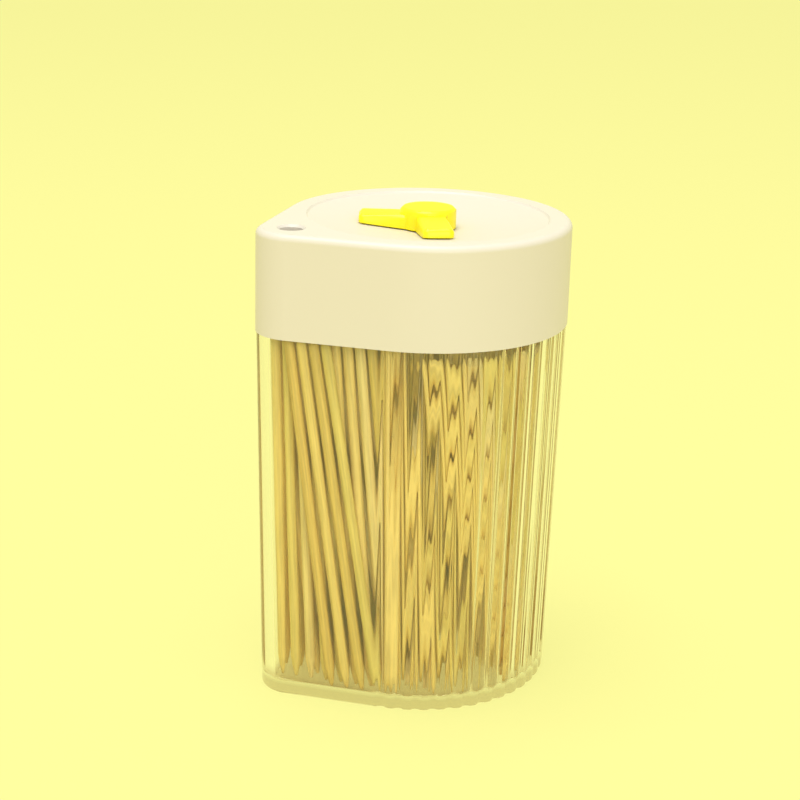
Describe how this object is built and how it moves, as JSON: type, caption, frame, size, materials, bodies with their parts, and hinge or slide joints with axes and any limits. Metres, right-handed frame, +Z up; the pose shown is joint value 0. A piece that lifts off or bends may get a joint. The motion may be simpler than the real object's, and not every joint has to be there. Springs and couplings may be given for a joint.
{
  "type": "toothpick dispenser",
  "caption": "Teardrop cup of clear reeded plastic under a white push-fit lid, with a clock-hand knob that slides a shutter off the corner exit hole to let one toothpick out.",
  "frame": {"origin": "on the knob's axis, in the plane of the cup's underside", "axes": "+Z up along the knob's axis, -X towards the corner with the exit hole, the cup symmetric about Y = 0"},
  "size_m": [0.0596, 0.052, 0.0882],
  "materials": {
    "clear_cup": "polished, see-through",
    "white_lid": "smooth moulded gloss",
    "yellow_knob": "smooth moulded gloss",
    "natural_cam": "natural, satin",
    "white_shutter": "satin",
    "plated_steel": "zinc plated",
    "bamboo": "turned bamboo, unvarnished"
  },
  "bodies": {
    "cup": {"container": "clear_cup", "toothpick_01": "bamboo", "toothpick_02": "bamboo", "toothpick_03": "bamboo", "toothpick_04": "bamboo", "toothpick_05": "bamboo", "toothpick_06": "bamboo", "toothpick_07": "bamboo", "toothpick_08": "bamboo", "toothpick_09": "bamboo", "toothpick_10": "bamboo", "toothpick_11": "bamboo", "toothpick_12": "bamboo", "toothpick_13": "bamboo", "toothpick_14": "bamboo", "toothpick_15": "bamboo", "toothpick_16": "bamboo", "toothpick_17": "bamboo", "toothpick_18": "bamboo", "toothpick_19": "bamboo", "toothpick_20": "bamboo", "toothpick_21": "bamboo", "toothpick_22": "bamboo", "toothpick_23": "bamboo", "toothpick_24": "bamboo", "toothpick_25": "bamboo", "toothpick_26": "bamboo", "toothpick_27": "bamboo", "toothpick_28": "bamboo", "toothpick_29": "bamboo", "toothpick_30": "bamboo", "toothpick_31": "bamboo", "toothpick_32": "bamboo", "toothpick_33": "bamboo", "toothpick_34": "bamboo", "toothpick_35": "bamboo", "toothpick_36": "bamboo", "toothpick_37": "bamboo", "toothpick_38": "bamboo"},
    "lid": {"lid_shell": "white_lid"},
    "knob": {"clock_knob": "yellow_knob", "cam_disc": "natural_cam", "cam_washer": "plated_steel", "cam_screw": "plated_steel"},
    "shutter": {"shutter": "white_shutter"}
  },
  "joints": [
    {"name": "lid_lift", "type": "slide", "parent": "cup", "child": "lid", "axis": [0, 0, 1], "range_m": [0, 0.03]},
    {"name": "knob_turn", "type": "hinge", "parent": "lid", "child": "knob", "pos_m": [0, 0, 0.083], "axis": [0, 0, -1], "range_deg": [0, 66]},
    {"name": "shutter_slide", "type": "slide", "parent": "lid", "child": "shutter", "axis": [1, 0, 0], "range_m": [0, 0.0066]}
  ],
  "couplings": [
    {"joint": "shutter_slide", "follows": "knob_turn", "m_per_rad": 0.005729}
  ]
}
